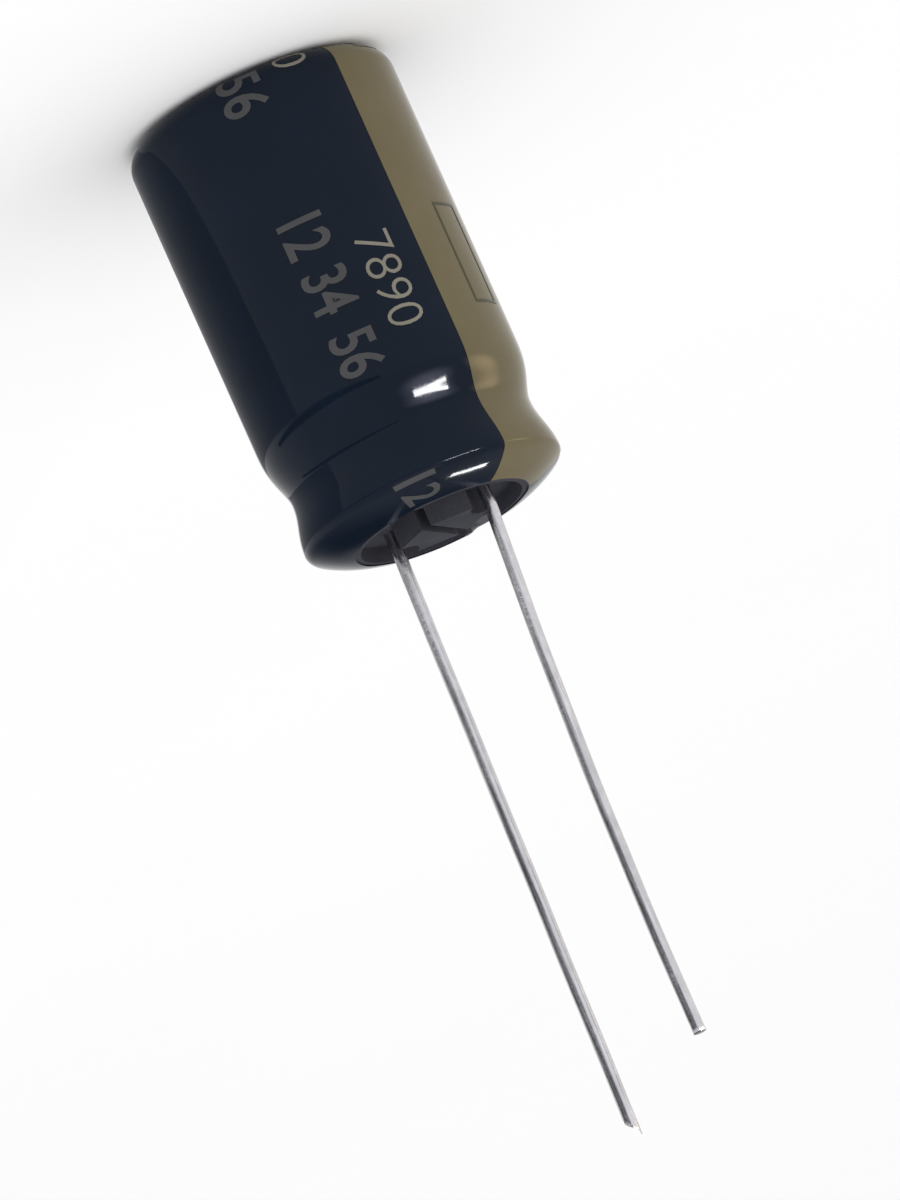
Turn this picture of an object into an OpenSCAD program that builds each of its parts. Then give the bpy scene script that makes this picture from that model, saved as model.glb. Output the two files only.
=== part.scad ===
// Radial aluminium electrolytic capacitor with two wire leads.
// It stands on its closed end with the leads up. The origin is the middle of the closed end.
// The anode (long) lead is on +X, the cathode (short) lead and the polarity stripe on -X.

/* [Can] */
// Outside diameter of the bare aluminium can
can_d = 12.5; // [12:0.1:13.5]
// Wall and floor thickness of the drawn can
can_wall = 0.3; // [0.2:0.05:0.4]
// Height from the closed end to the crimped shoulder, over the sleeve
body_h = 20.65; // [18:0.1:30]
// Outer rounding of the closed end
closed_round = 1.1; // [0.8:0.1:1.6]
// Distance from the shoulder down to the bottom of the rolled groove
groove_drop = 2.95; // [2.6:0.05:3.4]
// Radial depth of the rolled groove
groove_depth = 0.55; // [0.3:0.05:0.65]
// Length of the groove's slope on the body side
groove_run = 3.1; // [2:0.1:3.4]
// How far the crimped shoulder stays inside the straight wall
shoulder_in = 0.15; // [0:0.01:0.3]
// Height of the shoulder's rounding
shoulder_h = 0.6; // [0.5:0.05:1]
// Depth of the shoulder's rounding across the can
shoulder_w = 1.2; // [0.9:0.05:1.3]
// How far the curled lip reaches in from the can's side
curl_in = 1.75; // [1.5:0.05:1.9]
// How far the curled edge bites down into the bung
curl_bite = 0.8; // [0.5:0.1:1.2]
// Depth of the vent score in the closed end
vent_depth = 0.12; // [0.05:0.01:0.15]
// Width of the vent score
vent_w = 0.4; // [0.3:0.1:0.8]
// Length of each line of the vent score
vent_l = 7; // [5:0.5:8]

/* [Sleeve] */
// Thickness of the shrunk sleeve
sleeve_t = 0.07; // [0.05:0.01:0.12]
// How far the sleeve reaches in from its side over the closed end
closed_lip = 1.8; // [1.7:0.05:2.2]
// How far the sleeve reaches in from its side over the lead end
lead_lip = 2.15; // [1.9:0.05:2.5]
// Angle of the shoulder's rounding from which the sleeve slopes on straight to its edge
lip_angle = 52; // [48:1:70]

/* [Print] */
// Thickness of a printed layer
ink_t = 0.02; // [0.01:0.005:0.03]
// Width of the polarity stripe, as an angle round the can
stripe_angle = 54; // [40:1:70]
// Length of the minus mark along the can
mark_l = 5; // [4:0.1:6]
// Width of the minus mark
mark_w = 1.95; // [1.5:0.05:2.5]
// Width of the minus mark's outline
mark_line = 0.15; // [0.1:0.05:0.3]
// Height of the minus mark's lower end
mark_z = 8.4; // [7:0.1:9]
// Height of the large figures, measured round the can
large_h = 2.2; // [1.6:0.1:2.6]
// Height of the small figures, measured round the can
small_h = 1.7; // [1.2:0.1:2]
// Width of a figure as a share of its height
figure_w = 0.46; // [0.4:0.02:0.55]
// Width of the line that the figures are drawn with
figure_line = 0.26; // [0.15:0.01:0.3]

/* [Bung] */
// Height of the rubber bung, from its underside to its recessed top
bung_h = 4.8; // [4.2:0.1:5.4]
// How far the bung's recessed top lies below the shoulder
bung_recess = 0.3; // [0.1:0.05:0.5]
// Width of the raised rim of the bung, inside the curled lip
rim_w = 0.6; // [0.5:0.05:0.8]
// Width of the two vent gaps in that rim
rim_gap_w = 1.4; // [0.8:0.1:2]
// How far the raised pads stand above the shoulder
pad_rise = 0.85; // [0.5:0.05:1.2]
// Length over the pads, from lead to lead, of the lozenge that they form
pad_l = 6.6; // [5:0.1:6.8]
// Width of that lozenge
pad_w = 4; // [3:0.1:5]
// Diameter of the pocket round each lead
pocket_d = 1.9; // [1.4:0.1:2.2]
// Width of the vent channel between the pads
channel_w = 0.5; // [0.3:0.1:1]

/* [Leads] */
// Diameter of the tinned wire
lead_d = 0.6; // [0.5:0.05:0.7]
// Distance between the two leads where they leave the bung
lead_pitch = 5; // [4.6:0.1:5.4]
// Height of the anode lead's tip above the shoulder
anode_out = 29.3; // [20:0.1:35]
// Height of the cathode lead's tip above the shoulder
cathode_out = 26.6; // [16:0.1:32]
// Height above the shoulder at which the leads start to bend
straight_out = 0.7; // [0.4:0.1:1.2]
// Lean of the anode lead towards +X
anode_lean = 2; // [1:0.5:4]
// Lean of the cathode lead towards +X just past its bend
cathode_lean = 4.5; // [3:0.5:6]
// Lean of the cathode lead towards +X at its tip
cathode_end_lean = 0.6; // [0.2:0.1:1]
// Angle of the anode lead's slanted cut
anode_cut = 55; // [30:5:60]
// Angle of the cathode lead's cut
cathode_cut = 12; // [4:2:30]

/* [Terminals] */
// Diameter of the aluminium rod that passes through the bung
rod_d = 1.8; // [1.5:0.1:2.1]
// Distance from the bung's recessed top down to the weld
weld_drop = 1.6; // [1.2:0.1:2.2]
// Height of the weld cone between rod and wire
weld_h = 0.6; // [0.4:0.1:0.9]
// Depth to which the wire sits in the rod
wire_in = 0.4; // [0.2:0.1:0.6]
// Length of the rod below the bung
rod_below = 0.4; // [0.2:0.1:0.8]
// Length over which the rod is pressed flat
flat_run = 1; // [0.6:0.1:1.4]
// Thickness of the flat tab
tab_t = 0.2; // [0.15:0.01:0.25]
// Width of the flat tab
tab_w = 1.8; // [1.2:0.1:2]

/* [Winding] */
// Thickness of the etched anode foil
anode_foil_t = 0.1; // [0.08:0.01:0.12]
// Thickness of the cathode foil
cathode_foil_t = 0.05; // [0.03:0.01:0.07]
// Thickness of each separator paper
paper_t = 0.05; // [0.04:0.01:0.07]
// Play between two layers of the roll
layer_gap = 0.01; // [0.01:0.005:0.02]
// How far each foil stays inside the paper at both ends
foil_inset = 0.8; // [0.5:0.1:1.2]
// Smallest diameter of the hole that the winding pin leaves
pin_d = 1.7; // [1.2:0.1:2]
// Gap between the roll and the can
roll_gap = 0.1; // [0.05:0.05:0.3]
// Thickness of the tape that closes the roll
tape_t = 0.05; // [0.04:0.01:0.08]
// Width of the tape
tape_w = 8; // [6:0.5:10]

/* [Hidden] */
$fn = 96;

// Radii and heights that several pieces share
wall_r = can_d / 2 + sleeve_t;
shoulder_r = wall_r - shoulder_in;
shoulder_z = body_h - shoulder_h;
groove_z = body_h - groove_drop;
can_in_r = can_d / 2 - can_wall;
curl_r = can_d / 2 - curl_in;
curl_z = body_h - sleeve_t - curl_bite;
lip_slope = shoulder_h * cos(lip_angle) / (shoulder_w * sin(lip_angle));
closed_hole_r = wall_r - closed_lip;
lead_hole_r = wall_r - lead_lip;
floor_z = sleeve_t + can_wall;
inner_round = closed_round - sleeve_t - can_wall;
bung_top = body_h - bung_recess;
bung_z = bung_top - bung_h;
rod_top = bung_top - weld_drop;
rod_z = bung_z - rod_below;
wire_z = rod_top - wire_in;
bend_z = body_h + straight_out;
knee_gap = 0.05;       // how far two runs of wire stop short of the middle of their knee
knee_over = 0.01;      // how far a knee stands proud of the wire
sweep_runs = 4;        // straight runs that the cathode lead's slow curve is made of
sweep_rise = (body_h + cathode_out - bend_z) / sweep_runs;
cut_over = 1;          // how far a cutting shape runs past what it cuts
pad_root = 0.3;        // how deep the raised pads are rooted in the bung
pad_z = bung_top - pad_root;
pad_h = pad_root + bung_recess + pad_rise;
curve_step = 15;       // degrees between the points of a rounding
slope_steps = 10;      // points along each slope of the groove
shoulder_steps = 4;    // points along the shoulder's rounding

// Print: the rows run along the can, with the tops of the figures turned away from +X
row_large_angle = -100;
row_small_angle = -126;
large_groups = [[1, 2], [3, 4], [5, 6]];
large_places = [6.97, 9.87, 12.98];
small_group = [7, 8, 9, 0];
small_place = 9.05;
figure_space = 0.42;   // space between two figures, as a share of the figure's width
figure_split = 0.04;   // gap between the strokes of a figure
strokes = [[1, 1, 1, 1, 1, 1, 0], [0, 1, 1, 0, 0, 0, 0], [1, 1, 0, 1, 1, 0, 1], [1, 1, 1, 1, 0, 0, 1],
           [0, 1, 1, 0, 0, 1, 1], [1, 0, 1, 1, 0, 1, 1], [1, 0, 1, 1, 1, 1, 1], [1, 1, 1, 0, 0, 0, 0],
           [1, 1, 1, 1, 1, 1, 1], [1, 1, 1, 1, 0, 1, 1]];

// Roll: anode foil, paper, cathode foil, paper, wound as four strips side by side
layer_t = [anode_foil_t, paper_t, cathode_foil_t, paper_t];
layer_off = [0,
             anode_foil_t + layer_gap,
             anode_foil_t + paper_t + 2 * layer_gap,
             anode_foil_t + paper_t + cathode_foil_t + 3 * layer_gap];
turn_pitch = anode_foil_t + cathode_foil_t + 2 * paper_t + 4 * layer_gap;
wind_step = 15;
tab_half = tab_w / lead_pitch * 180 / PI;
tab_flat = wind_step * ceil(tab_half / wind_step);
tab_blend = 45;
tab_play = 0.09;
tab_lift = tab_t + tab_play;
anode_tab_r = lead_pitch / 2 - tab_t / 2;
anode_skip = tab_half / 360 * turn_pitch + anode_foil_t + layer_gap;
anode_turn = floor((anode_tab_r - anode_skip - pin_d / 2) / turn_pitch);
roll_r = anode_tab_r - anode_skip - anode_turn * turn_pitch;
cathode_skip = (0.5 + tab_half / 360) * turn_pitch + layer_off[2] + cathode_foil_t + layer_gap;
cathode_turn = floor((anode_tab_r - cathode_skip - roll_r) / turn_pitch);
cathode_tab_r = roll_r + cathode_turn * turn_pitch + cathode_skip;
turns = floor((can_in_r - roll_gap - tape_t - layer_gap - tab_lift - roll_r) / turn_pitch) - 1;
roll_out_r = roll_r + (turns + 1) * turn_pitch + tab_lift + tape_t;
roll_corner = max(0, roll_out_r - (can_in_r - inner_round));
roll_z = floor_z + inner_round - sqrt(inner_round * inner_round - roll_corner * roll_corner);
roll_top = rod_z - flat_run;
start_skip = 60;       // the foils start this many degrees after the papers
anode_short = 90;      // and the anode foil ends this many before them
cathode_short = 30;

// Outline of the body at a depth under the sleeve's surface, from the closed end to the lip
function closed_arc(depth, from = -90) = [for (a = [from : curve_step : 0])
    [wall_r - closed_round + (closed_round - depth) * cos(a),
     closed_round + (closed_round - depth) * sin(a)]];
function groove_body_side(depth) = [for (i = [0 : slope_steps])
    [wall_r - depth - groove_depth * (1 - cos(180 * i / slope_steps)) / 2,
     groove_z - groove_run * (1 - i / slope_steps)]];
function groove_lead_side(depth) = [for (i = [1 : slope_steps - 1])
    [shoulder_r - depth - (groove_depth - shoulder_in) * (1 + cos(180 * i / slope_steps)) / 2,
     groove_z + (shoulder_z - groove_z) * i / slope_steps]];
function shoulder_point(depth, a) = [shoulder_r - shoulder_w + (shoulder_w - depth) * cos(a),
                                     shoulder_z + (shoulder_h - depth) * sin(a)];
function shoulder_arc(depth) =
    [for (i = [0 : shoulder_steps]) shoulder_point(depth, lip_angle * i / shoulder_steps)];
function shoulder_top(depth) = [for (i = [1 : shoulder_steps])
    shoulder_point(depth, lip_angle + (90 - lip_angle) * i / shoulder_steps)];
function lip_point(depth, r) = let (start = shoulder_point(depth, lip_angle))
    [r, start[1] + lip_slope * (start[0] - r)];
function side_outline(depth, from = -90) = concat(closed_arc(depth, from), groove_body_side(depth),
    groove_lead_side(depth), shoulder_arc(depth));
function outline(depth) = concat(side_outline(depth), shoulder_top(depth));
function sleeve_outline(depth, r, from = -90) = concat(side_outline(depth, from), [lip_point(depth, r)]);
surface_radii = [for (p = outline(0)) [p[1], p[0]]];
function print_levels(from, to) =
    concat([from], [for (q = surface_radii) if (q[0] > from && q[0] < to) q[0]], [to]);
function reversed(points) = [for (i = [len(points) - 1 : -1 : 0]) points[i]];

// Cathode lead: its lean and its place at the foot of each run
function sweep_lean(i) = cathode_lean + (cathode_end_lean - cathode_lean) * i / (sweep_runs - 1);
function sweep_x(i) = i == 0 ? -lead_pitch / 2 : sweep_x(i - 1) + sweep_rise * tan(sweep_lean(i - 1));

// Roll: the tabs lift every layer that lies outside them
function turned(a, side) = round((a - side) / 360);
function off_side(a, side) = abs(a - side - 360 * turned(a, side));
function eased(d) = d <= tab_flat ? 1 : d >= tab_flat + tab_blend ? 0
    : (1 + cos(180 * (d - tab_flat) / tab_blend)) / 2;
function lifted(a, layer, side, tab_order) =
    4 * turned(a, side) + layer > tab_order ? tab_lift * eased(off_side(a, side)) : 0;
function layer_r(a, layer, off) = roll_r + turn_pitch * a / 360 + off
    + lifted(a, layer, 0, 4 * anode_turn) + lifted(a, layer, 180, 4 * cathode_turn + 2);

module strip(layer, off, t, from, to, z, h)
    translate([0, 0, z]) linear_extrude(h)
        polygon(concat(
            [for (a = [from : wind_step : to]) layer_r(a, layer, off) * [cos(a), sin(a)]],
            [for (a = [to : -wind_step : from]) (layer_r(a, layer, off) + t) * [cos(a), sin(a)]]));

module roll_layer(layer, from, to, inset)
    strip(layer, layer_off[layer], layer_t[layer], from, to, roll_z + inset,
          roll_top - roll_z - 2 * inset);

module sleeve() color("#1b2030")
    rotate_extrude()
        polygon(concat([[closed_hole_r, 0]], sleeve_outline(0, lead_hole_r),
                       reversed(sleeve_outline(sleeve_t, lead_hole_r)), [[closed_hole_r, sleeve_t]]));

// A printed patch on the sleeve: its lower end, height, middle angle and width round the can
module patch(layer, z, h, angle, w) {
    levels = print_levels(z, z + h);
    rotate([0, 0, angle - w / 2]) rotate_extrude(angle = w)
        polygon(concat([for (q = levels) [lookup(q, surface_radii) + layer * ink_t, q]],
                       [for (q = reversed(levels)) [lookup(q, surface_radii) + (layer + 1) * ink_t, q]]));
}

module polarity_stripe() color("#6e674f")
    rotate([0, 0, 180 - stripe_angle / 2]) rotate_extrude(angle = stripe_angle)
        polygon(concat(sleeve_outline(-ink_t, lead_hole_r, -75),
                       reversed(sleeve_outline(0, lead_hole_r, -75))));

module polarity_marks() color("#3a3828") {
    mark_angle = mark_w / wall_r * 180 / PI;
    line_angle = mark_line / wall_r * 180 / PI;
    difference() {
        patch(1, mark_z, mark_l, 180, mark_angle);
        rotate([0, 0, 180 - mark_angle / 2 + line_angle]) rotate_extrude(angle = mark_angle - 2 * line_angle)
            translate([wall_r, mark_z + mark_line]) square([3 * ink_t, mark_l - 2 * mark_line]);
    }
}

// One stroke of a figure: along the can from u0 to u1, and up the figure from v0 to v1
module stroke(angle, z, u0, u1, v0, v1)
    patch(0, z + u0, u1 - u0, angle - (v0 + v1) / 2 / wall_r * 180 / PI, (v1 - v0) / wall_r * 180 / PI);

module figure(digit, h, angle, z) {
    w = figure_w * h;
    b = figure_line;
    s = figure_split;
    on = strokes[digit];
    mid = h / 2;
    if (on[0] == 1) stroke(angle, z, b + s, w - b - s, h - b, h);
    if (on[1] == 1) stroke(angle, z, w - b, w, mid + s, h);
    if (on[2] == 1) stroke(angle, z, w - b, w, 0, mid - s);
    if (on[3] == 1) stroke(angle, z, b + s, w - b - s, 0, b);
    if (on[4] == 1) stroke(angle, z, 0, b, 0, mid - s);
    if (on[5] == 1) stroke(angle, z, 0, b, mid + s, h);
    if (on[6] == 1) stroke(angle, z, b + s, w - b - s, mid - b / 2, mid + b / 2);
}

module figures(digits, h, angle, z)
    for (i = [0 : len(digits) - 1])
        figure(digits[i], h, angle, z + i * figure_w * h * (1 + figure_space));

module number_print() color("#8d8a7c") {
    for (i = [0 : len(large_groups) - 1])
        figures(large_groups[i], large_h, row_large_angle, large_places[i]);
    figures(small_group, small_h, row_small_angle, small_place);
}

module can() color("#b9bcc0")
    difference() {
        rotate_extrude()
            polygon(concat([[0, sleeve_t]], outline(sleeve_t),
                           [[curl_r, body_h - sleeve_t]],
                           [[curl_r, curl_z], [curl_r + can_wall, curl_z]],
                           [[curl_r + can_wall, body_h - floor_z]],
                           reversed(outline(floor_z)), [[0, floor_z]]));
        for (a = [0, 90])
            rotate([0, 0, a]) translate([-vent_l / 2, -vent_w / 2, sleeve_t - cut_over])
                cube([vent_l, vent_w, vent_depth + cut_over]);
    }

// The space that one terminal and its wire take up, over and under the given ends
module terminal_space(below, above) {
    translate([0, 0, rod_z - below]) cylinder(d = rod_d, h = rod_top - rod_z + below);
    translate([0, 0, rod_top]) cylinder(d1 = rod_d, d2 = 2 * lead_d, h = weld_h);
    translate([0, 0, rod_top]) cylinder(d = lead_d, h = bung_top - rod_top + above);
}

module rubber_bung() color("#3a3a40") {
    groove_radii = [for (p = groove_body_side(floor_z)) [p[1], p[0]]];
    difference() {
        union() {
            rotate_extrude()
                polygon(concat([[0, bung_z], [lookup(bung_z, groove_radii), bung_z]],
                               [for (p = outline(floor_z)) if (p[1] > bung_z) p],
                               [[curl_r + can_wall, body_h - floor_z]],
                               [[curl_r + can_wall, curl_z], [curl_r, curl_z]],
                               [lip_point(sleeve_t, curl_r), lip_point(sleeve_t, curl_r - rim_w)],
                               [[curl_r - rim_w, bung_top], [0, bung_top]]));
            difference() {
                translate([0, 0, pad_z]) linear_extrude(pad_h)
                    polygon([[pad_l / 2, 0], [0, pad_w / 2], [-pad_l / 2, 0], [0, -pad_w / 2]]);
                for (side = [-1, 1])
                    translate([side * lead_pitch / 2, 0, pad_z - cut_over])
                        cylinder(d = pocket_d, h = pad_h + 2 * cut_over);
                translate([-channel_w / 2, -pad_w, pad_z - cut_over])
                    cube([channel_w, 2 * pad_w, pad_h + 2 * cut_over]);
            }
        }
        difference() {
            translate([-rim_gap_w / 2, -curl_r, bung_top])
                cube([rim_gap_w, 2 * curl_r, pad_rise + bung_recess]);
            cylinder(r = curl_r - rim_w, h = 2 * body_h);
        }
        for (side = [-1, 1])
            translate([side * lead_pitch / 2, 0, 0]) terminal_space(cut_over, cut_over);
    }
}

// A straight run of wire in the XZ plane, with a knee at its foot at x, z and a lean towards +X.
// The last run has its tip cut at an angle
module wire_run(x, z, lean, rise, cut = 0) {
    l = rise / cos(lean) - knee_gap;
    translate([x, 0, z]) {
        sphere(r = lead_d / 2 + knee_over);
        rotate([0, lean, 0]) translate([0, 0, knee_gap]) difference() {
            cylinder(d = lead_d, h = cut > 0 ? l : l - knee_gap);
            if (cut > 0)
                translate([0, 0, l - lead_d / 2 * tan(cut)]) rotate([0, cut, 0])
                    translate([-2 * lead_d, -lead_d, 0]) cube([4 * lead_d, 2 * lead_d, 3 * lead_d]);
        }
    }
}

module wire_root(x)
    translate([x, 0, wire_z]) cylinder(d = lead_d, h = bend_z - knee_gap - wire_z);

module anode_lead() color("#b9b8bd") {
    wire_root(lead_pitch / 2);
    wire_run(lead_pitch / 2, bend_z, anode_lean, body_h + anode_out - bend_z, anode_cut);
}

// The cathode lead straightens little by little towards its tip
module cathode_lead() color("#b9b8bd") {
    wire_root(-lead_pitch / 2);
    for (i = [0 : sweep_runs - 1])
        wire_run(sweep_x(i), bend_z + i * sweep_rise, sweep_lean(i), sweep_rise,
                 i == sweep_runs - 1 ? cathode_cut : 0);
}

// Aluminium rod with its weld cone above and its flattened tab below, with the tab's radius given
module terminal(tab_r) {
    translate([lead_pitch / 2, 0, 0]) {
        difference() {
            terminal_space(0, 0);
            translate([0, 0, wire_z]) cylinder(d = lead_d, h = bung_top - wire_z + cut_over);
        }
        intersection() {
            translate([0, 0, rod_z - flat_run]) cylinder(d = rod_d, h = flat_run);
            rotate([90, 0, 0]) linear_extrude(2 * rod_d, center = true)
                polygon([[-rod_d / 2, rod_z], [rod_d / 2, rod_z],
                         [tab_t, rod_z - flat_run], [-tab_t, rod_z - flat_run]]);
        }
    }
    tab_z = roll_z + 2 * foil_inset;
    rotate([0, 0, -tab_half]) rotate_extrude(angle = 2 * tab_half)
        translate([tab_r, tab_z]) square([tab_t, roll_top + flat_run / 4 - tab_z]);
}

module anode_terminal() color("#c9ccd0") terminal(anode_tab_r);
module cathode_terminal() color("#c9ccd0") rotate([0, 0, 180]) terminal(cathode_tab_r);

module anode_foil() color("#8f959c") roll_layer(0, start_skip, 360 * turns - anode_short, foil_inset);
module inner_paper() color("#e6dcc2") roll_layer(1, 0, 360 * turns, 0);
module cathode_foil() color("#c4c8cc") roll_layer(2, start_skip, 360 * turns - cathode_short, foil_inset);
module outer_paper() color("#e6dcc2") roll_layer(3, 0, 360 * turns, 0);

module fixing_tape() color("#d9c48a")
    strip(4, turn_pitch, tape_t, 360 * (turns - 1) + wind_step, 360 * turns,
          (roll_z + roll_top - tape_w) / 2, tape_w);

sleeve();
polarity_stripe();
polarity_marks();
number_print();
can();
rubber_bung();
anode_lead();
cathode_lead();
anode_terminal();
cathode_terminal();
anode_foil();
cathode_foil();
inner_paper();
outer_paper();
fixing_tape();
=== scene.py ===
import math
import bpy
from mathutils import Matrix, Vector


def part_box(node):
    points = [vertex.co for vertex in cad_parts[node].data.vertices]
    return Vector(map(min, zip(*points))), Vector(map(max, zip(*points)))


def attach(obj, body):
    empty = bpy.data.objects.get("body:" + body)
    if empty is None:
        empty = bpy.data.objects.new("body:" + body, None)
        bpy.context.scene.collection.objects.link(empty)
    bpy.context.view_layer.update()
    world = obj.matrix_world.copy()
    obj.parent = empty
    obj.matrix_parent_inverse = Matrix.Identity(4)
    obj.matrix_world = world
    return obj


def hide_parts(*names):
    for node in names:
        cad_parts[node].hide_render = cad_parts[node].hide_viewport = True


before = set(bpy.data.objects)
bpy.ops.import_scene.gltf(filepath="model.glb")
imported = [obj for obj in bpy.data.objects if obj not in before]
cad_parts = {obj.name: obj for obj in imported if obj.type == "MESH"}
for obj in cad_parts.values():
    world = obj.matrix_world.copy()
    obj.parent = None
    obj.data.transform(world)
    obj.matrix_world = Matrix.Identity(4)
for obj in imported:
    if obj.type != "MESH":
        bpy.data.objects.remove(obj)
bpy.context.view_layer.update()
mm = 0.001
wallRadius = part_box("sleeve")[1].x / mm      # outside of the sleeve's straight wall, in mm


# Camera: where the photograph was taken from, seen from the body's middle
shot = {
    "azimuth": -22.8, "elevation": 14.782, "roll": 155.876,    # degrees
    "distance": 1134.65,                                       # mm
    "pixelsPerMm": 22.4919,
    "middleHigh": 10.45,                                       # mm up the axis
    "middleAt": (346.617, 309.986),                            # that point's pixel in the picture
    "picture": (900, 1200),
}


def placeCamera():
    a, e, roll = (math.radians(shot[k]) for k in ("azimuth", "elevation", "roll"))
    back = Vector((math.sin(a) * math.cos(e), -math.cos(a) * math.cos(e), math.sin(e)))
    right = Vector((math.cos(a), math.sin(a), 0))
    up = back.cross(right)
    pictureRight = math.cos(roll) * right + math.sin(roll) * up
    pictureUp = math.cos(roll) * up - math.sin(roll) * right
    wide, high = shot["picture"]
    middle = Vector((0, 0, shot["middleHigh"])) * mm
    aim = (middle + pictureRight * (wide / 2 - shot["middleAt"][0]) / shot["pixelsPerMm"] * mm
           - pictureUp * (high / 2 - shot["middleAt"][1]) / shot["pixelsPerMm"] * mm)
    place = middle + back * shot["distance"] * mm
    zAxis = (place - aim).normalized()
    xAxis = (pictureRight - zAxis * pictureRight.dot(zAxis)).normalized()
    yAxis = zAxis.cross(xAxis)
    bpy.ops.object.camera_add(location=place)
    camera = bpy.context.object
    camera.name = "pictureCamera"
    camera.matrix_world = Matrix.Translation(place) @ Matrix((xAxis, yAxis, zAxis)).transposed().to_4x4()
    camera.data.sensor_width = 36
    camera.data.lens = shot["pixelsPerMm"] * shot["distance"] * camera.data.sensor_width / high
    camera.data.clip_start, camera.data.clip_end = 0.1, 10
    bpy.context.scene.camera = camera


placeCamera()
bpy.context.scene.view_settings.view_transform = "Standard"
print("camera placed")


# Small tools for the modelling
def startFresh():
    if bpy.context.object and bpy.context.object.mode != "OBJECT":
        bpy.ops.object.mode_set(mode="OBJECT")
    bpy.ops.object.select_all(action="DESELECT")


def pickOnly(piece):
    startFresh()
    piece.select_set(True)
    bpy.context.view_layer.objects.active = piece


def settle(piece):
    pickOnly(piece)
    bpy.ops.object.transform_apply(location=True, rotation=True, scale=True)


def applyAll(piece):
    pickOnly(piece)
    for modifier in list(piece.modifiers):
        bpy.ops.object.modifier_apply(modifier=modifier.name)


def turnProfile(name, profile, steps, angle=360.0):
    startFresh()
    bpy.ops.mesh.primitive_plane_add(size=mm)
    piece = bpy.context.object
    piece.name = piece.data.name = name
    bpy.ops.object.mode_set(mode="EDIT")
    bpy.ops.mesh.select_all(action="SELECT")
    bpy.ops.mesh.merge(type="CENTER")
    bpy.ops.transform.translate(value=(profile[0][0] * mm, 0, profile[0][1] * mm))
    for (r0, z0), (r1, z1) in zip(profile, profile[1:]):
        bpy.ops.mesh.extrude_region_move(
            TRANSFORM_OT_translate={"value": ((r1 - r0) * mm, 0, (z1 - z0) * mm)})
    bpy.ops.mesh.select_all(action="SELECT")
    bpy.ops.mesh.remove_doubles(threshold=0.001 * mm)
    bpy.ops.mesh.select_all(action="SELECT")
    bpy.ops.mesh.spin(steps=steps, angle=math.radians(angle), center=(0, 0, 0), axis=(0, 0, 1))
    bpy.ops.mesh.select_all(action="SELECT")
    bpy.ops.mesh.remove_doubles(threshold=0.001 * mm)
    bpy.ops.mesh.select_all(action="SELECT")
    bpy.ops.mesh.normals_make_consistent(inside=False)
    bpy.ops.object.mode_set(mode="OBJECT")
    return piece


def smooth(piece, angle=35):
    pickOnly(piece)
    bpy.ops.object.shade_smooth_by_angle(angle=math.radians(angle))


def finishPiece(piece, slot, material, *nodes):
    settle(piece)
    piece.data.materials.clear()
    piece.data.materials.append(material)
    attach(piece, "root")
    if nodes:
        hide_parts(*nodes)
    print(piece.name, "done,", len(piece.data.polygons), "faces")


# Small tools for the materials
def colour(code):
    parts = [int(code[i:i + 2], 16) / 255 for i in (1, 3, 5)]
    return [c / 12.92 if c <= 0.04045 else ((c + 0.055) / 1.055) ** 2.4 for c in parts] + [1]


def addNode(tree, kind, inputs=None, stops=None, **settings):
    node = tree.nodes.new(kind)
    for key, value in settings.items():
        setattr(node, key, value)
    for place, value in stops or []:
        ramp = node.color_ramp.elements
        stop = ramp[-place] if place in (0, 1) else ramp.new(place)
        stop.color = colour(value)
    for key, value in (inputs or {}).items():
        if isinstance(value, bpy.types.NodeSocket):
            tree.links.new(value, node.inputs[key])
        else:
            node.inputs[key].default_value = value
    return node


def startMaterial(name):
    material = bpy.data.materials.new(name)
    material.use_nodes = True
    material.node_tree.nodes.clear()
    place = addNode(material.node_tree, "ShaderNodeTexCoord").outputs["Object"]
    return material, material.node_tree, place


def closeMaterial(tree, shader):
    addNode(tree, "ShaderNodeOutputMaterial", {"Surface": shader.outputs["BSDF"]})


def perSize(size):
    return 1 / (size * mm)      # noise scale for a feature of that many mm


# Sleeve: shrunk PVC film, folded over both ends
film = {
    "thick": 0.07, "closedRound": 1.1, "grooveDrop": 2.95, "grooveDepth": 0.55, "grooveRun": 3.1,
    "shoulderIn": 0.15, "shoulderHigh": 0.6, "shoulderWide": 1.2,
    "lipAngle": 38, "lipBend": 0.135,       # degrees of the shoulder's rounding, then the lip's own curve
    "closedLip": 1.8, "leadLip": 2.15,      # how far the film reaches in over each end
    "around": 240, "roundSteps": 14, "slopeSteps": 40, "lipSteps": 16,
    "slopeLean": 1.58,                      # over 1 steepens the slope towards the groove
    "edgeWander": 0.05,                     # how far the cut edges stray
    "sagWide": 1.5, "sagBlend": 0.35,       # where the film sinks over one vent gap
}
closedEdge = wallRadius - film["closedLip"]
leadEdge = wallRadius - film["leadLip"]
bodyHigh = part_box("can")[1].z / mm + film["thick"]      # closed end to shoulder, in mm


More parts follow.
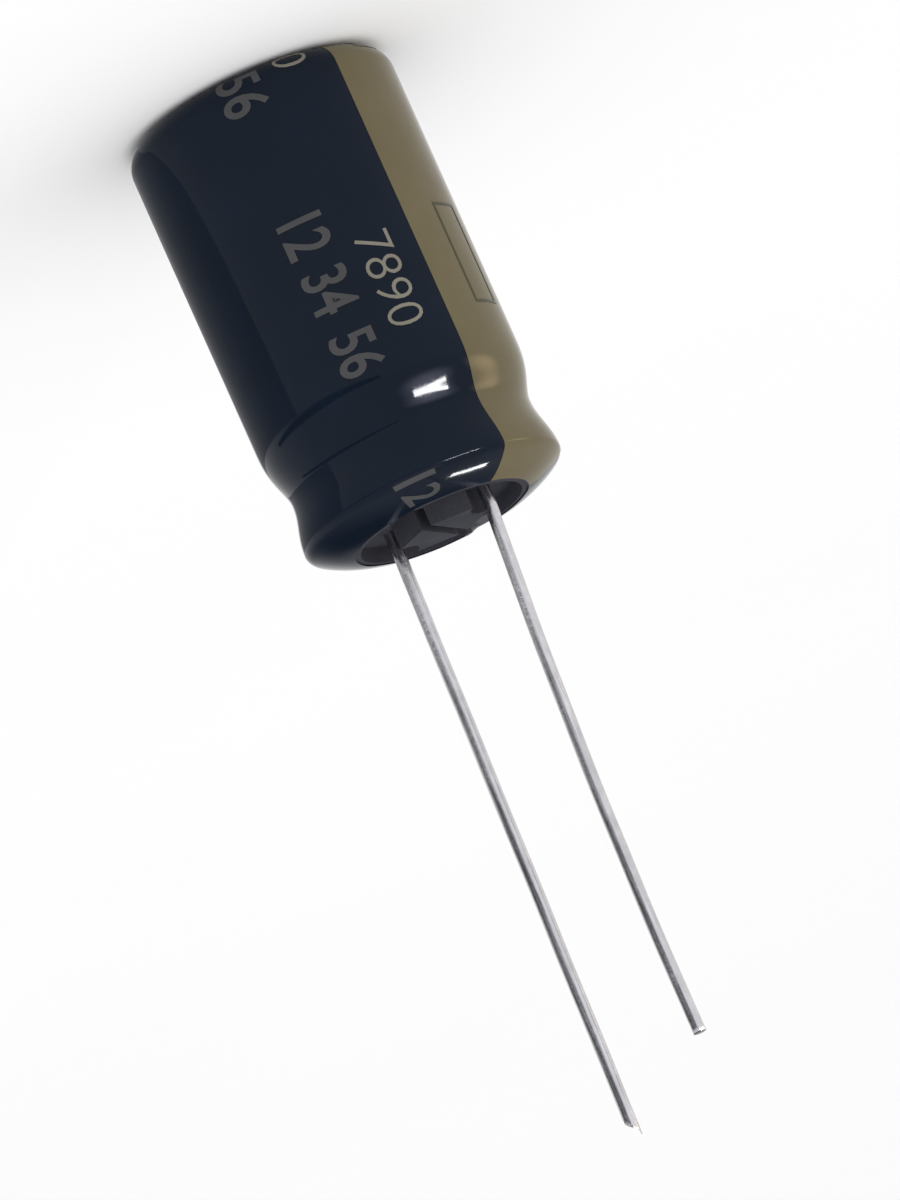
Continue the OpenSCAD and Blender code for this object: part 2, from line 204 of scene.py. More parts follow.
def filmOutline(depth):
    f = film
    shoulderR = wallRadius - f["shoulderIn"]
    shoulderZ = bodyHigh - f["shoulderHigh"]
    grooveZ = bodyHigh - f["grooveDrop"]
    points = []
    for i in range(f["roundSteps"] + 1):
        a = math.radians(-90 + 90 * i / f["roundSteps"])
        points.append((wallRadius - f["closedRound"] + (f["closedRound"] - depth) * math.cos(a),
                       f["closedRound"] + (f["closedRound"] - depth) * math.sin(a)))
    for i in range(f["slopeSteps"] + 1):
        share = i / f["slopeSteps"]
        points.append((wallRadius - depth - f["grooveDepth"]
                       * (1 - math.cos(math.pi * share ** f["slopeLean"])) / 2,
                       grooveZ - f["grooveRun"] * (1 - share)))
    for i in range(1, f["slopeSteps"]):
        share = i / f["slopeSteps"]
        points.append((shoulderR - depth
                       - (f["grooveDepth"] - f["shoulderIn"]) * (1 + math.cos(math.pi * share)) / 2,
                       grooveZ + (shoulderZ - grooveZ) * share))
    for i in range(f["roundSteps"] + 1):
        a = math.radians(f["lipAngle"] * i / f["roundSteps"])
        points.append((shoulderR - f["shoulderWide"] + (f["shoulderWide"] - depth) * math.cos(a),
                       shoulderZ + (f["shoulderHigh"] - depth) * math.sin(a)))
    return points


# The lip rises on from the shoulder's rounding and flattens; a layer's height there at a radius
def lipHigh(r, depth=0.0):
    startR, startZ = filmOutline(depth)[-1]
    slope = film["shoulderHigh"] / film["shoulderWide"] / math.tan(math.radians(film["lipAngle"]))
    return startZ + slope * (startR - r) - film["lipBend"] * (startR - r) ** 2


def lipPoints(depth):
    startR = filmOutline(depth)[-1][0]
    radii = [startR + (leadEdge - startR) * i / film["lipSteps"] for i in range(1, film["lipSteps"] + 1)]
    return [(r, lipHigh(r, depth)) for r in radii]


surface = [(closedEdge, 0.0)] + filmOutline(0) + lipPoints(0)


# Lengths along the film, counted so that they equal the height on the straight wall
def filmLengths():
    lengths = [0.0]
    for (r0, z0), (r1, z1) in zip(surface, surface[1:]):
        lengths.append(lengths[-1] + math.hypot(r1 - r0, z1 - z0))
    wallStart = film["roundSteps"] + 1
    shift = film["closedRound"] - lengths[wallStart]
    return [s + shift for s in lengths]


lengths = filmLengths()


def onFilm(along, angle, lift):
    along = min(max(along, lengths[0]), lengths[-1])
    i = max(k for k in range(len(lengths) - 1) if lengths[k] <= along)
    share = (along - lengths[i]) / (lengths[i + 1] - lengths[i])

    def outward(k):
        (r0, z0), (r1, z1) = surface[max(k - 1, 0)], surface[min(k + 1, len(surface) - 1)]
        size = math.hypot(r1 - r0, z1 - z0)
        return Vector(((z1 - z0) / size, -(r1 - r0) / size))

    point = Vector(surface[i]).lerp(Vector(surface[i + 1]), share)
    point += outward(i).lerp(outward(i + 1), share).normalized() * lift
    return Vector((point.x * math.cos(angle), point.x * math.sin(angle), point.y)) * mm


def wander(angle):
    return film["edgeWander"] * (0.45 * math.sin(3 * angle + 0.6) + 0.3 * math.sin(7 * angle + 2.1)
                                 + 0.25 * math.sin(13 * angle))


# The film sinks on to the can's curled edge over the vent gap on +Y, and spans the other one
def sag(vertex, r):
    if vertex.co.y < 0:
        return 0
    beside = abs(vertex.co.x) / mm - film["sagWide"] / 2
    share = min(max(0.5 - beside / film["sagBlend"], 0), 1)
    share *= share * (3 - 2 * share)
    return share * max(lipHigh(r) - bodyHigh - 0.02, 0) * mm


def roughenEdges(piece):
    for vertex in piece.data.vertices:
        r = math.hypot(vertex.co.x, vertex.co.y) / mm
        upper = vertex.co.z / mm > bodyHigh - 0.4
        lower = vertex.co.z / mm < 0.2
        if upper and r < filmOutline(0)[-1][0]:
            vertex.co.z -= sag(vertex, r)
        near = 1 - (r - leadEdge) / 0.75 if upper else 1 - (r - closedEdge) / 0.6 if lower else 0
        if near > 0:
            push = 1 + wander(math.atan2(vertex.co.y, vertex.co.x)) * min(near, 1) / r
            vertex.co.x *= push
            vertex.co.y *= push


def makeSleeve(material):
    inner = filmOutline(film["thick"]) + lipPoints(film["thick"])
    profile = surface + inner[::-1] + [(closedEdge, film["thick"]), surface[0]]
    piece = turnProfile("shrunkSleeve", profile, film["around"])
    roughenEdges(piece)
    smooth(piece, 40)
    finishPiece(piece, "sleeve_pvc", material, "sleeve")


# Print: ink on the film, wrapped round it as it was before it shrank
ink = {
    "thick": 0.02, "lift": 0.004, "repeat": 13.0,    # mm; the print repeats along the film
    "bandMiddle": 180.0, "bandWide": 54.0,           # degrees round the can
    "markLong": 5.0, "markWide": 1.95, "markLine": 0.13, "markStart": 8.4,
    "markTurns": (-1, 0),
    "largeAngle": -100.0, "largeHigh": 2.15, "largeWide": 0.74, "largeBold": 0.014,
    "largeGroups": (("12", 6.97), ("34", 9.87), ("56", 12.98)), "largeTurns": (-1, 0, 1),
    "smallAngle": -126.5, "smallHigh": 1.7, "smallWide": 0.95, "smallBold": -0.014,
    "smallGroups": (("7890", 9.05),), "smallTurns": (-1, 0),
    "cell": 0.22,                                    # mm between the cuts that let the ink bend
}


def cutIntoCells(piece):
    pickOnly(piece)
    corners = [Vector(c) / mm for c in piece.bound_box]
    bpy.ops.object.mode_set(mode="EDIT")
    for axis in (0, 1):
        low, high = min(c[axis] for c in corners), max(c[axis] for c in corners)
        count = math.ceil((high - low) / ink["cell"])
        normal = (1, 0, 0) if axis == 0 else (0, 1, 0)
        for i in range(1, count):
            at = (low + (high - low) * i / count) * mm
            bpy.ops.mesh.select_all(action="SELECT")
            bpy.ops.mesh.bisect(plane_co=(at * normal[0], at * normal[1], 0), plane_no=normal,
                                threshold=0.0001 * mm)
    bpy.ops.object.mode_set(mode="OBJECT")


def trimToFilm(piece, start):
    pickOnly(piece)
    bpy.ops.object.mode_set(mode="EDIT")
    for at, side in ((lengths[-1] - start - 0.1, True), (lengths[0] - start + 0.1, False)):
        bpy.ops.mesh.select_all(action="SELECT")
        bpy.ops.mesh.bisect(plane_co=(at * mm, 0, 0), plane_no=(1, 0, 0),
                            clear_outer=side, clear_inner=not side)
    bpy.ops.object.mode_set(mode="OBJECT")


# A flat piece lies with its x along the film and its y up the figures, which is back round the can
def wrapOnFilm(piece, start, angle, lift):
    trimToFilm(piece, start)
    if not piece.data.polygons:
        bpy.data.objects.remove(piece)
        return None
    for vertex in piece.data.vertices:
        around = math.radians(angle) - vertex.co.y / mm / wallRadius
        vertex.co = onFilm(start + vertex.co.x / mm, around, lift)
    pickOnly(piece)
    bpy.ops.object.mode_set(mode="EDIT")
    bpy.ops.mesh.select_all(action="SELECT")
    bpy.ops.mesh.remove_doubles(threshold=0.0005 * mm)
    bpy.ops.object.mode_set(mode="OBJECT")
    solid = piece.modifiers.new("inkLayer", "SOLIDIFY")
    solid.thickness = ink["thick"] * mm
    solid.offset = 1
    applyAll(piece)
    return piece


def faceOutwards(piece):
    wall = max(piece.data.polygons, key=lambda face: face.area)
    if wall.normal.dot(wall.center * Vector((1, 1, 0))) < 0:
        pickOnly(piece)
        bpy.ops.object.mode_set(mode="EDIT")
        bpy.ops.mesh.select_all(action="SELECT")
        bpy.ops.mesh.flip_normals()
        bpy.ops.object.mode_set(mode="OBJECT")


def joinPieces(name, pieces):
    startFresh()
    pieces = [p for p in pieces if p]
    for piece in pieces:
        piece.select_set(True)
    bpy.context.view_layer.objects.active = pieces[0]
    bpy.ops.object.join()
    pieces[0].name = pieces[0].data.name = name
    smooth(pieces[0], 30)
    return pieces[0]


def flatFigures(text, wide, high, bold):
    startFresh()
    bpy.ops.object.text_add(location=(0, 0, 0))
    piece = bpy.context.object
    piece.data.body = text
    piece.data.size = 1
    piece.data.resolution_u = 4
    piece.data.offset = bold
    bpy.ops.object.convert(target="MESH")
    piece = bpy.context.object
    ys = [v.co.y for v in piece.data.vertices]
    grow = high / (max(ys) - min(ys)) * mm
    for vertex in piece.data.vertices:
        vertex.co.x *= wide * grow
        vertex.co.y = (vertex.co.y - min(ys)) * grow
    cutIntoCells(piece)
    return piece


def copyOf(piece):
    startFresh()
    twin = piece.copy()
    twin.data = piece.data.copy()
    bpy.context.collection.objects.link(twin)
    return twin


def makeFigures(size, material):
    made = []
    for text, start in ink[size + "Groups"]:
        flat = flatFigures(text, ink[size + "Wide"], ink[size + "High"], ink[size + "Bold"])
        for turn in ink[size + "Turns"]:
            made.append(wrapOnFilm(copyOf(flat), start + turn * ink["repeat"],
                                   ink[size + "Angle"], ink["lift"]))
        bpy.data.objects.remove(flat)
    finishPiece(joinPieces(size + "Figures", made), "number_ink", material, "number_print")


def makeBand(material):
    profile = [onFilm(s, 0, ink["lift"]) / mm for s in lengths[3:-1]]
    profile.append(onFilm(lengths[-1] - 0.06, 0, ink["lift"]) / mm)
    steps = round(film["around"] * ink["bandWide"] / 360)
    piece = turnProfile("polarityBand", [(p.x, p.z) for p in profile], steps, ink["bandWide"])
    middle = sum((v.co for v in piece.data.vertices), Vector())
    piece.rotation_euler.z = math.radians(ink["bandMiddle"]) - math.atan2(middle.y, middle.x)
    settle(piece)
    faceOutwards(piece)
    roughenEdges(piece)
    pickOnly(piece)
    solid = piece.modifiers.new("inkLayer", "SOLIDIFY")
    solid.thickness = ink["thick"] * mm
    solid.offset = 1
    applyAll(piece)
    smooth(piece, 40)
    finishPiece(piece, "stripe_ink", material, "polarity_stripe")


def makeMinusMarks(material):
    startFresh()
    bpy.ops.mesh.primitive_plane_add(size=1)
    flat = bpy.context.object
    flat.scale = (ink["markLong"] * mm, ink["markWide"] * mm, 1)
    flat.location.x = ink["markLong"] / 2 * mm
    settle(flat)
    bpy.ops.object.mode_set(mode="EDIT")
    bpy.ops.mesh.select_all(action="SELECT")
    bpy.ops.mesh.inset(thickness=ink["markLine"] * mm)
    bpy.ops.mesh.delete(type="FACE")
    bpy.ops.object.mode_set(mode="OBJECT")
    cutIntoCells(flat)
    made = [wrapOnFilm(copyOf(flat), ink["markStart"] + turn * ink["repeat"], ink["bandMiddle"],
                       2 * ink["lift"] + ink["thick"]) for turn in ink["markTurns"]]
    bpy.data.objects.remove(flat)
    finishPiece(joinPieces("minusMarks", made), "mark_ink", material, "polarity_marks")


# Bung: moulded rubber with a rim round its edge, a lozenge of two pads and a vent channel
seal = {
    "recess": 0.3, "rimWide": 0.6, "rimGap": 1.4, "curlIn": 1.75, "curlBite": 0.8, "canWall": 0.3,
    "padRise": 0.85, "padRoot": 0.3, "padLong": 6.6, "padWide": 4.0, "pocket": 1.9, "channel": 0.5,
    "leadPitch": 5.0, "edgeRound": 0.12, "around": 128,
}


def cutBy(piece, cutter, how="DIFFERENCE"):
    pickOnly(piece)
    boolean = piece.modifiers.new("cut", "BOOLEAN")
    boolean.operation = how
    boolean.solver = "EXACT"
    boolean.object = cutter
    applyAll(piece)
    bpy.data.objects.remove(cutter)


def addRod(r, low, high, x=0.0):
    startFresh()
    bpy.ops.mesh.primitive_cylinder_add(vertices=seal["around"], radius=r * mm, depth=(high - low) * mm,
                                        location=(x * mm, 0, (low + high) / 2 * mm))
    settle(bpy.context.object)
    return bpy.context.object


def addBlock(low, high):
    startFresh()
    bpy.ops.mesh.primitive_cube_add(size=1, location=[(a + b) / 2 * mm for a, b in zip(low, high)])
    bpy.context.object.scale = [(b - a) * mm for a, b in zip(low, high)]
    settle(bpy.context.object)
    return bpy.context.object


def makePads(low, high):
    s = seal
    startFresh()
    bpy.ops.mesh.primitive_cylinder_add(vertices=4, radius=1, depth=(high - low) * mm,
                                        location=(0, 0, (low + high) / 2 * mm))
    pads = bpy.context.object
    pads.scale = (s["padLong"] / 2 * mm, s["padWide"] / 2 * mm, 1)
    settle(pads)
    for side in (-1, 1):
        cutBy(pads, addRod(s["pocket"] / 2, low - 1, high + 1, side * s["leadPitch"] / 2))
    cutBy(pads, addBlock((-s["channel"] / 2, -s["padWide"], low - 1),
                         (s["channel"] / 2, s["padWide"], high + 1)))
    return pads


def makeBung(material):
    s = seal
    top = bodyHigh - s["recess"]
    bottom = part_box("rubber_bung")[0].z / mm
    depth = film["thick"] + s["canWall"]
    curlR = wallRadius - film["thick"] - s["curlIn"]
    curlZ = bodyHigh - film["thick"] - s["curlBite"]
    rimR = curlR - s["rimWide"]
    wall = [p for p in filmOutline(depth) if p[1] > bottom + 0.05]
    profile = ([(0, bottom), (wall[0][0], bottom)] + wall
               + [(curlR + s["canWall"], bodyHigh - depth), (curlR + s["canWall"], curlZ),
                  (curlR, curlZ), (curlR, lipHigh(curlR, film["thick"])),
                  (rimR, lipHigh(rimR, film["thick"])), (rimR, top), (0, top)])
    piece = turnProfile("rubberSeal", profile, s["around"])
    cutBy(piece, addBlock((-s["rimGap"] / 2, -curlR - 0.1, top + 0.01),
                          (s["rimGap"] / 2, curlR + 0.1, bodyHigh + 1)))
    cutBy(piece, makePads(top - s["padRoot"], bodyHigh + s["padRise"]), "UNION")
    bevel = piece.modifiers.new("mouldEdges", "BEVEL")
    bevel.width = s["edgeRound"] * mm
    bevel.segments = 3
    bevel.limit_method = "ANGLE"
    bevel.angle_limit = math.radians(50)
    bevel.use_clamp_overlap = True
    applyAll(piece)
    smooth(piece, 45)
    finishPiece(piece, "bung_rubber", material, "rubber_bung")


# Leads: tinned wire, bent a little where it leaves the bung and cut at an angle
wire = {
    "thick": 0.6, "pitch": 5.0, "bendHigh": 21.35, "rootHigh": 18.35, "around": 40,
    "anodeTip": 49.84, "anodeLean": 2.0, "anodeCut": 55.0,
    "cathodeTip": 47.25, "cathodeLean": 5.15, "cathodeEndLean": -0.05, "cathodeCut": 12.0,
    "stray": 0.02, "burr": 0.02,
}


def wirePath(side, tip, lean, endLean):
    path = [Vector((side * wire["pitch"] / 2, 0, z)) for z in (wire["rootHigh"], wire["bendHigh"] - 0.35)]
    x, z, steps = side * wire["pitch"] / 2, wire["bendHigh"], 26
    rise = (tip + 1 - z) / steps
    for i in range(steps + 1):
        path.append(Vector((x, wire["stray"] * math.sin(0.9 * i + side) * min(i / 4, 1), z)))
        x += rise * math.tan(math.radians(lean + (endLean - lean) * (i + 0.5) / steps))
        z += rise
    return path


def makeWire(name, side, tip, lean, endLean, cut, material, node):
    startFresh()
    bpy.ops.curve.primitive_bezier_curve_add()
    curve = bpy.context.object
    path = wirePath(side, tip, lean, endLean)
    spline = curve.data.splines[0]
    spline.bezier_points.add(len(path) - 2)
    for point, at in zip(spline.bezier_points, path):
        point.co = at * mm
        point.handle_left_type = point.handle_right_type = "AUTO"
    curve.data.resolution_u = 5
    curve.data.bevel_depth = wire["thick"] / 2 * mm
    curve.data.bevel_resolution = wire["around"] // 4 - 1
    curve.data.use_fill_caps = True
    bpy.ops.object.convert(target="MESH")
    piece = bpy.context.object
    piece.name = piece.data.name = name
    end = path[-2].lerp(path[-1], 0.0)
    angle = math.radians(cut + endLean)
    normal = Vector((math.sin(angle), 0, math.cos(angle)))
    through = Vector((end.x - wire["thick"] / 2, 0, tip)) if cut else end
    for p0, p1 in zip(path, path[1:]):
        if p0.z <= tip <= p1.z:
            middle = p0.lerp(p1, (tip - p0.z) / (p1.z - p0.z))
            through = middle - Vector((wire["thick"] / 2, 0, 0))
    bpy.ops.object.mode_set(mode="EDIT")
    bpy.ops.mesh.select_all(action="SELECT")
    bpy.ops.mesh.remove_doubles(threshold=0.001 * mm)
    bpy.ops.mesh.select_all(action="SELECT")
    bpy.ops.mesh.bisect(plane_co=through * mm, plane_no=normal, use_fill=True, clear_outer=True)
    bpy.ops.mesh.select_all(action="SELECT")
    bpy.ops.mesh.normals_make_consistent(inside=False)
    bpy.ops.object.mode_set(mode="OBJECT")
    bevel = piece.modifiers.new("burr", "BEVEL")
    bevel.width = wire["burr"] * mm
    bevel.segments = 2
    bevel.limit_method = "ANGLE"
    bevel.angle_limit = math.radians(30)
    applyAll(piece)
    smooth(piece, 40)
    finishPiece(piece, "tinned_wire", material, node)


# Shrunk PVC film, printed dark navy: a hard even gloss with faint dull smears and fine rubs
def shrunkFilm(name, base, dark, light):
    material, tree, place = startMaterial(name)
    cloud = addNode(tree, "ShaderNodeTexNoise", {"Vector": place, "Scale": perSize(3.5), "Detail": 3})
    tint = addNode(tree, "ShaderNodeValToRGB", {"Fac": cloud.outputs["Fac"]},
                   stops=[(0, dark), (0.5, base), (1, light)])
    stretched = addNode(tree, "ShaderNodeMapping", {"Vector": place, "Scale": (1, 1, 0.08)})
    rub = addNode(tree, "ShaderNodeTexNoise", {"Vector": stretched.outputs["Vector"],
                                               "Scale": perSize(0.25), "Detail": 4})
    smear = addNode(tree, "ShaderNodeTexNoise", {"Vector": place, "Scale": perSize(2.2), "Detail": 5,
                                                 "Roughness": 0.6})
    both = addNode(tree, "ShaderNodeMath", {0: rub.outputs["Fac"], 1: smear.outputs["Fac"]},
                   operation="MULTIPLY")
    gloss = addNode(tree, "ShaderNodeMapRange", {"Value": both.outputs[0], "From Min": 0.12,
                                                 "From Max": 0.45, "To Min": 0.04, "To Max": 0.12})
    orange = addNode(tree, "ShaderNodeTexNoise", {"Vector": place, "Scale": perSize(0.8), "Detail": 2})
    relief = addNode(tree, "ShaderNodeBump", {"Height": orange.outputs["Fac"], "Strength": 0.04,
                                              "Distance": 0.05 * mm})
    shader = addNode(tree, "ShaderNodeBsdfPrincipled", {
        "Base Color": tint.outputs["Color"], "Roughness": gloss.outputs["Result"],
        "Specular IOR Level": 0.09, "IOR": 1.53, "Normal": relief.outputs["Normal"]})
    closeMaterial(tree, shader)
    return material


# Moulded butyl rubber: dull dark grey with a fine grain and a patchy tone that varies at random
def mouldedRubber():
    material, tree, place = startMaterial("mouldedButylRubber")
    grain = addNode(tree, "ShaderNodeTexNoise", {"Vector": place, "Scale": perSize(0.12), "Detail": 4})
    patch = addNode(tree, "ShaderNodeTexNoise", {"Vector": place, "Scale": perSize(1.6), "Detail": 3})
    mixed = addNode(tree, "ShaderNodeMath", {0: grain.outputs["Fac"], 1: patch.outputs["Fac"]},
                    operation="MULTIPLY")
    tint = addNode(tree, "ShaderNodeValToRGB", {"Fac": mixed.outputs[0]},
                   stops=[(0, "#292a31"), (0.35, "#383941"), (1, "#53545d")])
    relief = addNode(tree, "ShaderNodeBump", {"Height": grain.outputs["Fac"], "Strength": 0.25,
                                              "Distance": 0.03 * mm})
    shader = addNode(tree, "ShaderNodeBsdfPrincipled", {
        "Base Color": tint.outputs["Color"], "Roughness": 0.7, "Specular IOR Level": 0.12,
        "Normal": relief.outputs["Normal"]})
    closeMaterial(tree, shader)
    return material


# Tinned copper-clad steel wire: bright grey metal with fine drawing lines and small nicks
def tinnedWire():
    material, tree, place = startMaterial("tinnedSteelWire")
    along = addNode(tree, "ShaderNodeMapping", {"Vector": place, "Scale": (1, 1, 0.03)})
    lines = addNode(tree, "ShaderNodeTexNoise", {"Vector": along.outputs["Vector"],
                                                 "Scale": perSize(0.09), "Detail": 3})
    spots = addNode(tree, "ShaderNodeTexNoise", {"Vector": place, "Scale": perSize(0.7), "Detail": 5,
                                                 "Roughness": 0.65})
    tint = addNode(tree, "ShaderNodeValToRGB", {"Fac": spots.outputs["Fac"]},
                   stops=[(0, "#a4a4a8"), (0.5, "#bcbbc0"), (1, "#d2d1d6")])
    gloss = addNode(tree, "ShaderNodeMapRange", {"Value": lines.outputs["Fac"], "From Min": 0.3,
                                                 "From Max": 0.7, "To Min": 0.16, "To Max": 0.3})
    relief = addNode(tree, "ShaderNodeBump", {"Height": lines.outputs["Fac"], "Strength": 0.3,
                                              "Distance": 0.02 * mm})
    dents = addNode(tree, "ShaderNodeBump", {"Height": spots.outputs["Fac"], "Strength": 0.35,
                                             "Distance": 0.05 * mm, "Normal": relief.outputs["Normal"]})
    shader = addNode(tree, "ShaderNodeBsdfPrincipled", {
        "Base Color": tint.outputs["Color"], "Metallic": 1, "Roughness": gloss.outputs["Result"],
        "Normal": dents.outputs["Normal"]})
    closeMaterial(tree, shader)
    return material


# A rolled or pressed aluminium: satin grey metal, its grain drawn out along one axis
def workedAluminium(name, dark, light, grainSize, stretch, rough):
    material, tree, place = startMaterial(name)
    along = addNode(tree, "ShaderNodeMapping", {"Vector": place, "Scale": stretch})
    grain = addNode(tree, "ShaderNodeTexNoise", {"Vector": along.outputs["Vector"],
                                                 "Scale": perSize(grainSize), "Detail": 4})
    tint = addNode(tree, "ShaderNodeValToRGB", {"Fac": grain.outputs["Fac"]},
                   stops=[(0, dark), (1, light)])
    gloss = addNode(tree, "ShaderNodeMapRange", {"Value": grain.outputs["Fac"], "To Min": rough - 0.1,
                                                 "To Max": rough + 0.1})
    relief = addNode(tree, "ShaderNodeBump", {"Height": grain.outputs["Fac"], "Strength": 0.2,
                                              "Distance": 0.02 * mm})
    shader = addNode(tree, "ShaderNodeBsdfPrincipled", {
        "Base Color": tint.outputs["Color"], "Metallic": 1, "Roughness": gloss.outputs["Result"],
        "Normal": relief.outputs["Normal"]})
    closeMaterial(tree, shader)
    return material


# Soaked kraft paper: cream, matt, with short fibres
def soakedPaper():
    material, tree, place = startMaterial("soakedKraftPaper")
    along = addNode(tree, "ShaderNodeMapping", {"Vector": place, "Scale": (1, 1, 0.2)})
    fibres = addNode(tree, "ShaderNodeTexNoise", {"Vector": along.outputs["Vector"],
                                                  "Scale": perSize(0.15), "Detail": 5})
    tint = addNode(tree, "ShaderNodeValToRGB", {"Fac": fibres.outputs["Fac"]},
                   stops=[(0, "#cfc09a"), (1, "#efe7d2")])
    shader = addNode(tree, "ShaderNodeBsdfPrincipled", {"Base Color": tint.outputs["Color"],
                                                        "Roughness": 0.8})
    closeMaterial(tree, shader)
    return material


# Polyester tape: amber film with a soft gloss and faint wrinkles
def amberTape():
    material, tree, place = startMaterial("polyesterTape")
    wrinkles = addNode(tree, "ShaderNodeTexNoise", {"Vector": place, "Scale": perSize(1.2), "Detail": 3})
    tint = addNode(tree, "ShaderNodeValToRGB", {"Fac": wrinkles.outputs["Fac"]},
                   stops=[(0, "#cdae62"), (1, "#e2c987")])
    relief = addNode(tree, "ShaderNodeBump", {"Height": wrinkles.outputs["Fac"], "Strength": 0.2,
                                              "Distance": 0.05 * mm})
    shader = addNode(tree, "ShaderNodeBsdfPrincipled", {
        "Base Color": tint.outputs["Color"], "Roughness": 0.3, "Normal": relief.outputs["Normal"]})
    closeMaterial(tree, shader)
    return material


navyFilm = shrunkFilm("shrunkPvcFilm", "#101926", "#0d1621", "#131d2c")
goldInk = shrunkFilm("goldInkOnFilm", "#6b624a", "#635a43", "#756b52")
oliveInk = shrunkFilm("oliveInkOnFilm", "#4a4735", "#42402e", "#55523e")
dullInk = shrunkFilm("dullGreyInkOnFilm", "#49494b", "#414244", "#535354")
paleInk = shrunkFilm("paleInkOnFilm", "#7f7b70", "#726f65", "#8d897c")
print("materials ready")

makeSleeve(navyFilm)
makeBand(goldInk)
makeMinusMarks(oliveInk)
makeFigures("large", dullInk)
makeFigures("small", paleInk)
makeBung(mouldedRubber())
tin = tinnedWire()
makeWire("anodeWire", 1, wire["anodeTip"], wire["anodeLean"], wire["anodeLean"], wire["anodeCut"],
         tin, "anode_lead")
makeWire("cathodeWire", -1, wire["cathodeTip"], wire["cathodeLean"], wire["cathodeEndLean"],
         wire["cathodeCut"], tin, "cathode_lead")

# The pieces inside keep their CAD shapes and get their own finishes
drawnAluminium = workedAluminium("drawnAluminium", "#a9acb0", "#cfd1d4", 0.3, (1, 1, 0.15), 0.38)
pressedAluminium = workedAluminium("pressedAluminium", "#b4b7ba", "#d6d8da", 0.2, (1, 1, 1), 0.32)
etchedFoil = workedAluminium("etchedAluminiumFoil", "#7d838a", "#9aa0a6", 0.06, (1, 1, 1), 0.65)
rolledFoil = workedAluminium("rolledAluminiumFoil", "#b9bdc1", "#dcdee0", 0.1, (1, 1, 0.1), 0.28)
paper = soakedPaper()
carried = {
    "can": drawnAluminium, "anode_terminal": pressedAluminium, "cathode_terminal": pressedAluminium,
    "anode_foil": etchedFoil, "cathode_foil": rolledFoil, "inner_paper": paper, "outer_paper": paper,
    "fixing_tape": amberTape(),
}
for nodeName, material in carried.items():
    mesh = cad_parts[nodeName].data
    mesh.materials.clear()
    mesh.materials.append(material)
print("inner pieces finished")


# Studio: a pale matt floor, an even white room and lamps for the gloss
studio = {
    # cards on the floor that only the gloss sees: radii in mm, angles they lie between, tone
    "floorCards": {
        "sleeveCard": (0, 90, -40, 48, "#a6a6a6"),
        "wireCard": (92, 330, -116, -4, "#4c4c4e"),
    },
    "floorReach": 1500, "floorTone": "#ffffff", "roomTone": "#ffffff", "roomLevel": 0.96,
    # each lamp: the direction it lies in from the body, its distance and size in mm, how far it is
    # turned about that direction in degrees, its power in W, and whether only the gloss sees it
    "lamps": {
        "windowLamp": ((-0.8171, -0.4326, 0.3812), 300, (158, 10), 9.6, 0.7, True),
        "rimLamp": ((-0.028, 0.477, 0.88), 300, (66, 15), -69, 0.22, True),
        "softLamp": ((-0.2, -0.6, 0.8), 500, (300, 300), 0, 0.25, False),
    },
    # soft-edged cards that only the gloss sees: direction, distance, size, turn, tone and strength
    "cards": {
        "stripeGlow": ((-0.893, 0.43, 0.14), 300, (240, 100), 0, "#ffe2b8", 9),
        "windowGlow": ((-0.81, -0.45, 0.33), 310, (330, 130), 8.7, "#e4e6ff", 9),
        "darkScreen": ((0.47, 0.61, 0.6), 330, (620, 520), 0, "#2c2c2e", 1),
    },
}


# They keep the left of the sleeve and of the wires dark
def layFloorCards():
    for name, (inner, outer, start, end, tone) in studio["floorCards"].items():
        startFresh()
        bpy.ops.mesh.primitive_circle_add(vertices=64, radius=outer * mm, fill_type="TRIFAN")
        card = bpy.context.object
        card.name = name
        bpy.ops.object.mode_set(mode="EDIT")
        for angle, side in ((start, True), (end, False)):
            bpy.ops.mesh.select_all(action="SELECT")
            a = math.radians(angle)
            bpy.ops.mesh.bisect(plane_co=(0, 0, 0), plane_no=(-math.sin(a), math.cos(a), 0),
                                clear_inner=side, clear_outer=not side)
        middle = math.radians((start + end) / 2)
        if inner:
            bpy.ops.mesh.select_all(action="SELECT")
            bpy.ops.mesh.bisect(plane_co=(inner * math.cos(middle) * mm, inner * math.sin(middle) * mm, 0),
                                plane_no=(math.cos(middle), math.sin(middle), 0), clear_inner=True)
        bpy.ops.object.mode_set(mode="OBJECT")
        card.location.z = 0.02 * mm
        settle(card)
        showToGloss(card, tone)


# A place in the studio: its distance from the body's middle, facing it, turned about that line
def standAt(direction, distance, turn=0):
    towards = Vector(direction).normalized()
    facing = towards.to_track_quat("Z", "Y").to_matrix() @ Matrix.Rotation(math.radians(turn), 3, "Z")
    return Vector((0, 0, bodyHigh / 2 * mm)) + towards * distance * mm, facing.to_euler()


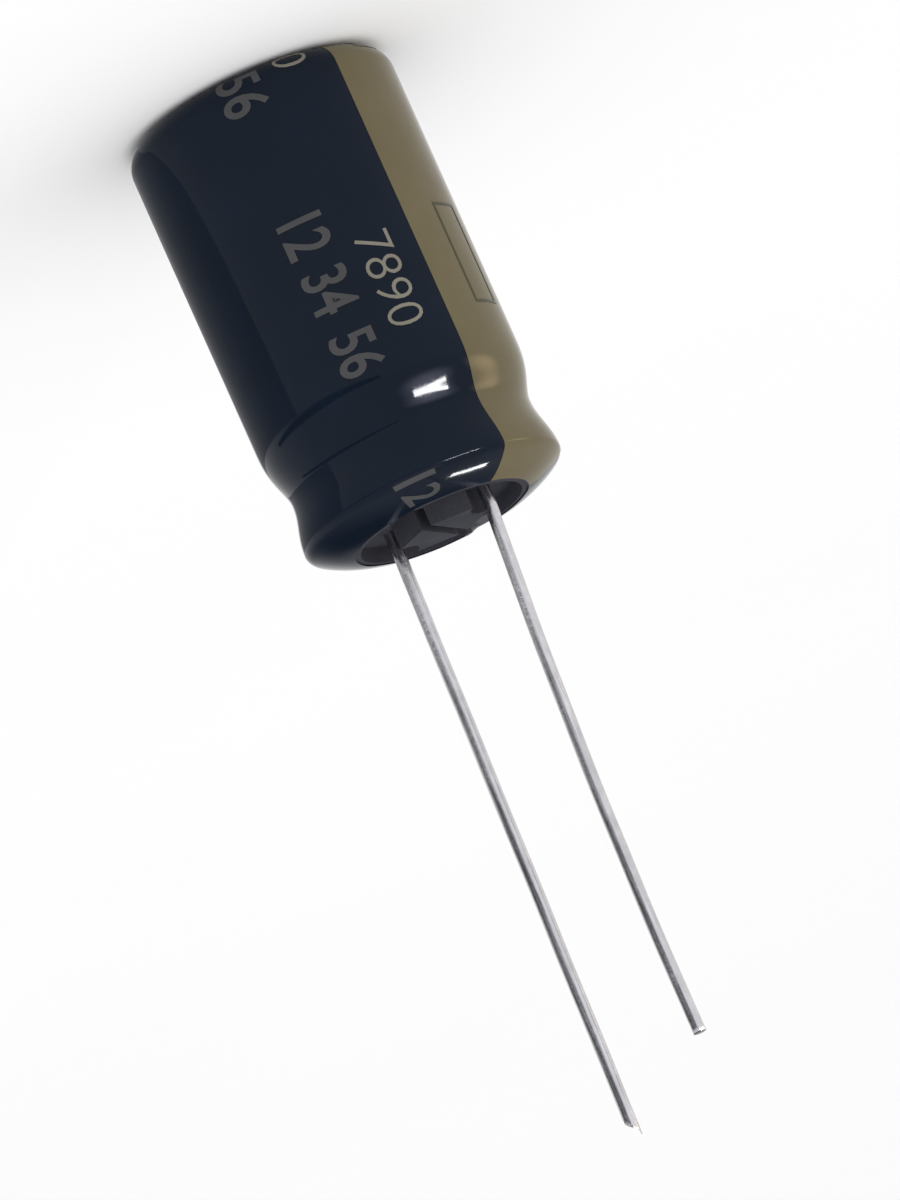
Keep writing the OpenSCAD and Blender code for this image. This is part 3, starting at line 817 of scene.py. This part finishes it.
def showToGloss(card, tone, strength=1.0, fade=None):
    material, tree, place = startMaterial(card.name + "Paper")
    glow = addNode(tree, "ShaderNodeEmission", {"Color": colour(tone), "Strength": strength})
    surface = glow.outputs["Emission"]
    if fade:
        centred = addNode(tree, "ShaderNodeMapping", {
            "Vector": place, "Location": fade["place"], "Rotation": fade["facing"],
            "Scale": fade["half"]}, vector_type="TEXTURE")
        ball = addNode(tree, "ShaderNodeTexGradient", {"Vector": centred.outputs["Vector"]},
                       gradient_type="SPHERICAL")
        soft = addNode(tree, "ShaderNodeMapRange", {"Value": ball.outputs["Fac"], "From Max": 0.9},
                       interpolation_type="SMOOTHSTEP")
        clear = addNode(tree, "ShaderNodeBsdfTransparent")
        surface = addNode(tree, "ShaderNodeMixShader", {
            0: soft.outputs["Result"], 1: clear.outputs["BSDF"], 2: surface}).outputs["Shader"]
    addNode(tree, "ShaderNodeOutputMaterial", {"Surface": surface})
    card.data.materials.append(material)
    card.visible_camera = card.visible_diffuse = card.visible_shadow = card.visible_transmission = False


def standCard(name, direction, distance, size, turn=0):
    place, facing = standAt(direction, distance, turn)
    startFresh()
    bpy.ops.mesh.primitive_plane_add(size=1, location=place, rotation=facing)
    card = bpy.context.object
    card.name = name
    card.scale = (size[0] * mm, size[1] * mm, 1)
    settle(card)
    return card, {"place": place, "facing": facing, "half": (size[0] / 2 * mm, size[1] / 2 * mm, 1)}


# Two soft glows, and a dark screen behind on the right for the lip and the leads
def standCards():
    for name, (direction, distance, size, turn, tone, strength) in studio["cards"].items():
        card, fade = standCard(name, direction, distance, size, turn)
        showToGloss(card, tone, strength, fade)


def makeStudio():
    startFresh()
    bpy.ops.mesh.primitive_plane_add(size=2 * studio["floorReach"] * mm, location=(0, 0, -0.06 * mm))
    floor = bpy.context.object
    floor.name = "paleFloor"
    settle(floor)
    material, tree, place = startMaterial("mattWhitePaper")
    fleck = addNode(tree, "ShaderNodeTexNoise", {"Vector": place, "Scale": perSize(40)})
    tint = addNode(tree, "ShaderNodeValToRGB", {"Fac": fleck.outputs["Fac"]},
                   stops=[(0, "#fcfcfc"), (1, studio["floorTone"])])
    shader = addNode(tree, "ShaderNodeBsdfPrincipled", {"Base Color": tint.outputs["Color"],
                                                        "Roughness": 0.9, "Specular IOR Level": 0.1})
    closeMaterial(tree, shader)
    floor.data.materials.append(material)
    world = bpy.data.worlds.new("whiteRoom")
    bpy.context.scene.world = world
    world.use_nodes = True
    world.node_tree.nodes.clear()
    room = addNode(world.node_tree, "ShaderNodeBackground", {"Color": colour(studio["roomTone"]),
                                                             "Strength": studio["roomLevel"]})
    addNode(world.node_tree, "ShaderNodeOutputWorld", {"Surface": room.outputs["Background"]})
    for name, (direction, distance, size, turn, power, glossOnly) in studio["lamps"].items():
        place, facing = standAt(direction, distance, turn)
        startFresh()
        bpy.ops.object.light_add(type="AREA", location=place, rotation=facing)
        lamp = bpy.context.object
        lamp.name = name
        lamp.data.shape = "RECTANGLE"
        lamp.data.size, lamp.data.size_y = size[0] * mm, size[1] * mm
        lamp.data.energy = power
        lamp.visible_diffuse = not glossOnly
    print("studio lit")


makeStudio()
layFloorCards()
standCards()
